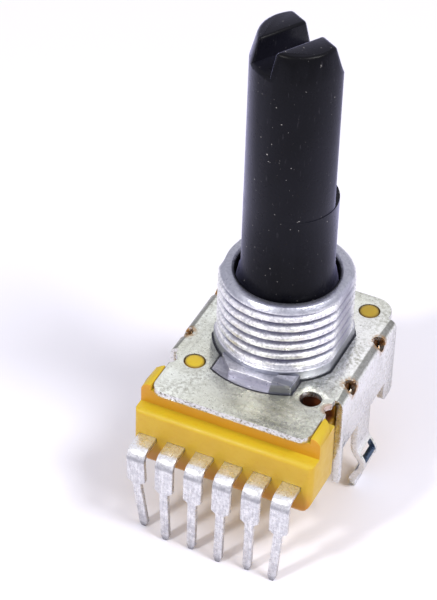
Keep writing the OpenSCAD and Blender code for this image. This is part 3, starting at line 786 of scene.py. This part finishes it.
def ring_wall(radius):
    return lambda angle, height: clipped(radius, angle)


def bushing_rows():
    """The bushing's section, from the flange up the outside and down the bore."""
    rows = [
        (FLANGE_LOW, FLANGE_R),
        (SHEET_LOW, FLANGE_R),
        (SHEET_LOW, ring_wall(COLLAR_R)),
        (COLLAR_TOP - COLLAR_CHAMFER, ring_wall(COLLAR_R)),
        (COLLAR_TOP, ring_wall(COLLAR_R - COLLAR_CHAMFER)),
    ]
    for k in range(THREAD_ROWS + 1):
        rows.append((COLLAR_TOP + (THREAD_TOP - COLLAR_TOP) * k / THREAD_ROWS, thread_radius))
    rows += [
        (RIM_TOP - RIM_CHAMFER, ring_wall(RIM_R + RIM_CHAMFER)),
        (RIM_TOP, ring_wall(RIM_R - RIM_EDGE)),
        (RIM_TOP, BORE_R + MOUTH_WIDER),
        (RIM_TOP - RIM_EDGE, BORE_R + MOUTH_STEP),
        (RIM_TOP - MOUTH_DEPTH, BORE_R),
        (POCKET_TOP, BORE_R),
        (POCKET_TOP, POCKET_R),
        (FLANGE_LOW, POCKET_R),
    ]
    return rows


def tongue_outline():
    """The tongue seen from above, with its round front edge."""
    front = []
    for k in range(TONGUE_STEPS + 1):
        x = -TONGUE_HALF + 2 * TONGUE_HALF * k / TONGUE_STEPS
        front.append((x, -math.sqrt(TONGUE_R * TONGUE_R - x * x)))
    return front + [(TONGUE_HALF, TONGUE_BACK), (-TONGUE_HALF, TONGUE_BACK)]


def step_outline():
    front = [(-1.6, -STEP_FRONT), (TONGUE_HALF, -STEP_FRONT)]
    return front + [(TONGUE_HALF, -3.0), (-2.6, -3.0), (-2.6, -3.98)]


def lug_outline():
    front = [(LUG_LEFT, -5.6), (2.15, -5.36), (2.7, -5.08)]
    return front + [(2.7, -3.9), (LUG_LEFT, -4.3)]


def under_tongue():
    """The part of the flange that lies under the tongue, out of sight."""
    return [(-3.1, -6.3), (3.1, -6.3), (3.1, TONGUE_BACK), (-3.1, TONGUE_BACK)]


def build_bushing():
    bm = bmesh.new()
    lathe(bm, bushing_rows(), RING_SEGMENTS)
    prism(bm, tongue_outline(), SHEET_LOW, 0.0)
    prism(bm, step_outline(), STEP_LOW, STEP_TOP, STEP_DRAFT)
    prism(bm, lug_outline(), STEP_LOW, LUG_TOP, LUG_DRAFT)
    prism(bm, under_tongue(), FLANGE_LOW, SHEET_LOW)
    bmesh.ops.dissolve_degenerate(bm, dist=TINY * MM, edges=bm.edges)
    return piece_from(bm, "threaded_bushing", "bushing")


def corner(x, y, radius, start):
    """A quarter circle that rounds the outline's corner at x, y, from this angle on."""
    middle_x = x - math.copysign(radius, x)
    middle_y = y - math.copysign(radius, y)
    points = []
    for k in range(CORNER_STEPS + 1):
        angle = math.radians(start + 90 * k / CORNER_STEPS)
        points.append((middle_x + radius * math.cos(angle), middle_y + radius * math.sin(angle)))
    return points


def base_outline():
    """The base seen from above, with its front and back corners rounded."""
    points = corner(-BLOCK_HALF, -BLOCK_FRONT, BLOCK_CORNER, 180)
    points += corner(BLOCK_HALF, -BLOCK_FRONT, BLOCK_CORNER, 270)
    points += [(BLOCK_HALF, BLOCK_BACK), (BODY_HALF, BLOCK_BACK)]
    points += corner(BODY_HALF, BODY_BACK, BACK_CORNER, 0)
    points += corner(-BODY_HALF, BODY_BACK, BACK_CORNER, 90)
    return points + [(-BODY_HALF, BLOCK_BACK), (-BLOCK_HALF, BLOCK_BACK)]


def base_front():
    """The base seen from the front, with its ears and lower corners rounded."""
    points = corner(BLOCK_HALF, BLOCK_LOW, LOWER_ROUND, 270)
    points += corner(BLOCK_HALF, EAR_TOP, EAR_ROUND, 0)
    return points + [(-x, z) for x, z in reversed(points)]


def build_pieces():
    build_bushing()
    softened("bracket", BRACKET_SOFT, shape=curve_legs)
    outlines = [(base_outline(), 0), (base_front(), math.pi / 2)]
    softened("base", BASE_SOFT, outlines, merge=BASE_MERGE)
    softened("shaft", SHAFT_SOFT, shape=shape_shaft, wanted=neither_step_nor_tip)
    for number in range(1, 7):
        softened(f"terminal_{number}", LEAD_SOFT)


# Stage, light and camera

def build_floor():
    bm = bmesh.new()
    half = FLOOR_HALF * MM
    corners = [(-half, -half), (half, -half), (half, half), (-half, half)]
    bm.faces.new([bm.verts.new((x, y, FLOOR_Z * MM)) for x, y in corners])
    floor = linked("floor", mesh_from(bm, "floor"))
    p = Paint("pale floor", roughness=0.9)
    p.shader.inputs["Specular IOR Level"].default_value = 0.1
    color = p.mix(p.noise(0.05, 2.0), tone(244, 243, 252), tone(241, 240, 251))
    floor.data.materials.append(p.done(color))


def area_light(name, place, size, power, color):
    """A round lamp that points at the frame's origin."""
    data = bpy.data.lights.new(name, "AREA")
    data.shape = "DISK"
    data.size = size
    data.energy = power
    data.color = color
    lamp = linked(name, data)
    lamp.location = place
    lamp.rotation_euler = (-Vector(place)).to_track_quat("-Z", "Y").to_euler()


def build_world():
    """A pale dome, brighter in what shines, with plain white behind everything for the camera."""
    world = bpy.data.worlds.new("studio")
    bpy.context.scene.world = world
    world.use_nodes = True
    tree = world.node_tree
    tree.nodes.clear()
    out = tree.nodes.new("ShaderNodeOutputWorld")
    where = tree.nodes.new("ShaderNodeTexCoord")
    split = tree.nodes.new("ShaderNodeSeparateXYZ")
    tree.links.new(where.outputs["Generated"], split.inputs[0])
    shade = tree.nodes.new("ShaderNodeValToRGB")
    tree.links.new(split.outputs["Z"], shade.inputs[0])
    shade.color_ramp.elements[0].color = (0.68, 0.67, 0.73, 1)
    shade.color_ramp.elements[1].color = (0.84, 0.83, 0.87, 1)
    dome = tree.nodes.new("ShaderNodeBackground")
    tree.links.new(shade.outputs[0], dome.inputs[0])
    rays = tree.nodes.new("ShaderNodeLightPath")
    power = tree.nodes.new("ShaderNodeMapRange")
    tree.links.new(rays.outputs["Is Glossy Ray"], power.inputs["Value"])
    power.inputs["To Min"].default_value = DOME_ON_DULL
    power.inputs["To Max"].default_value = DOME_ON_SHINY
    tree.links.new(power.outputs[0], dome.inputs[1])
    white = tree.nodes.new("ShaderNodeBackground")
    white.inputs[0].default_value = (1, 1, 1, 1)
    mix = tree.nodes.new("ShaderNodeMixShader")
    tree.links.new(rays.outputs["Is Camera Ray"], mix.inputs[0])
    tree.links.new(dome.outputs[0], mix.inputs[1])
    tree.links.new(white.outputs[0], mix.inputs[2])
    tree.links.new(mix.outputs[0], out.inputs[0])


def build_light():
    build_world()
    area_light("key", (0.17, -0.03, 0.27), size=0.10, power=0.55, color=(1.0, 0.99, 0.98))
    area_light("front", (-0.12, -0.25, 0.26), size=0.045, power=0.54, color=(1.0, 0.985, 0.95))


def view_axes():
    """The camera's right, up and back, from its turn, rise and roll."""
    back = Vector((
        math.sin(VIEW_TURN) * math.cos(VIEW_RISE),
        -math.cos(VIEW_TURN) * math.cos(VIEW_RISE),
        math.sin(VIEW_RISE),
    ))
    level = Vector((math.cos(VIEW_TURN), math.sin(VIEW_TURN), 0))
    upright = back.cross(level)
    right = math.cos(VIEW_ROLL) * level + math.sin(VIEW_ROLL) * upright
    up = -math.sin(VIEW_ROLL) * level + math.cos(VIEW_ROLL) * upright
    return right, up, back


def build_camera():
    """The photograph's view, solved from the shaft, the bushing, the plate's holes and the leads."""
    right, up, back = view_axes()
    place = (VIEW_BACK * back + VIEW_RIGHT * right + VIEW_UP * up) * MM
    data = bpy.data.cameras.new("camera")
    data.sensor_width = SENSOR
    data.lens = FOCAL_PIXELS / PHOTO_HEIGHT * SENSOR
    data.clip_start = 0.01
    camera = linked("camera", data)
    camera.matrix_world = Matrix((
        (right.x, up.x, back.x, place.x),
        (right.y, up.y, back.y, place.y),
        (right.z, up.z, back.z, place.z),
        (0, 0, 0, 1),
    ))
    bpy.context.scene.camera = camera


paint_cad()
build_pieces()
build_floor()
build_light()
build_camera()
bpy.context.scene.view_settings.view_transform = "Standard"
